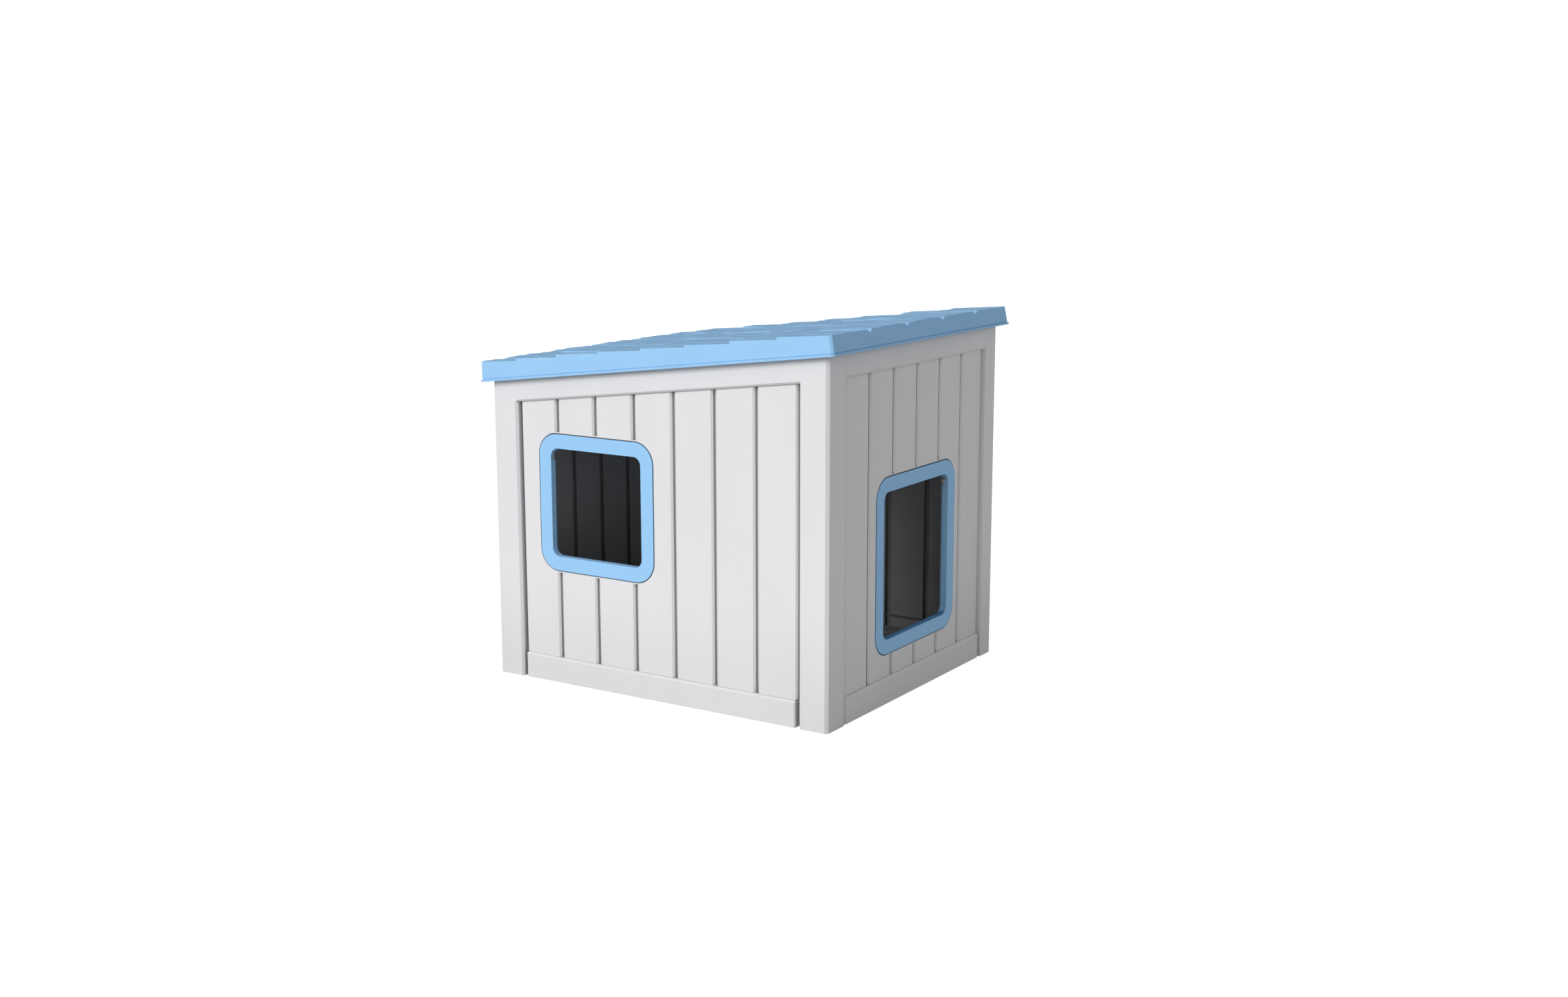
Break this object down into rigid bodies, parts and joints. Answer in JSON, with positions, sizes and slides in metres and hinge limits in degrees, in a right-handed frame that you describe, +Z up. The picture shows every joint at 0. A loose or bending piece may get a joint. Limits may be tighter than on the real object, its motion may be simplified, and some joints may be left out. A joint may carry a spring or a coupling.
{
  "type": "cat house",
  "caption": "Outdoor cat house with planked walls, a lift-off shingled pent roof, a flap door in the front wall and a flap window in the left wall.",
  "frame": {"origin": "centre of the footprint, on the ground", "axes": "+Z up; -Y out of the front wall with the doorway; -X out of the left wall with the window; the roof falls towards +Y"},
  "size_m": [0.4994, 0.5775, 0.5187],
  "materials": {
    "wall_resin": "light grey moulded resin, satin",
    "roof_resin": "light blue moulded resin with a fine wood grain",
    "frame_resin": "light blue moulded resin, smooth",
    "ring_resin": "light grey moulded resin, smooth",
    "floor_resin": "grey moulded resin",
    "clear_acrylic": "clear acrylic sheet",
    "zinc_steel": "zinc-plated steel"
  },
  "bodies": {
    "house": {"left_side_panel": "wall_resin", "right_side_panel": "wall_resin", "front_panel": "wall_resin", "back_panel": "wall_resin", "corner_screws": "zinc_steel", "floor_tray": "floor_resin", "window_frame": "frame_resin", "window_inner_ring": "ring_resin", "window_hinge_clips": "ring_resin", "window_frame_screws": "zinc_steel", "door_frame": "frame_resin", "door_inner_ring": "ring_resin", "door_hinge_clips": "ring_resin", "door_frame_screws": "zinc_steel"},
    "lift_off_roof": {"roof": "roof_resin"},
    "window_swing": {"window_flap": "clear_acrylic"},
    "door_swing": {"door_flap": "clear_acrylic"}
  },
  "joints": [
    {"name": "roof_lift", "type": "slide", "parent": "house", "child": "lift_off_roof", "axis": [0, 0, 1], "range_m": [0, 0.12]},
    {"name": "window_hinge", "type": "hinge", "parent": "house", "child": "window_swing", "pos_m": [-0.22425, 0.0995, 0.3265], "axis": [0, 1, 0], "range_deg": [-85, 85]},
    {"name": "door_hinge", "type": "hinge", "parent": "house", "child": "door_swing", "pos_m": [0.009, -0.2615, 0.2835], "axis": [1, 0, 0], "range_deg": [-85, 85]}
  ]
}
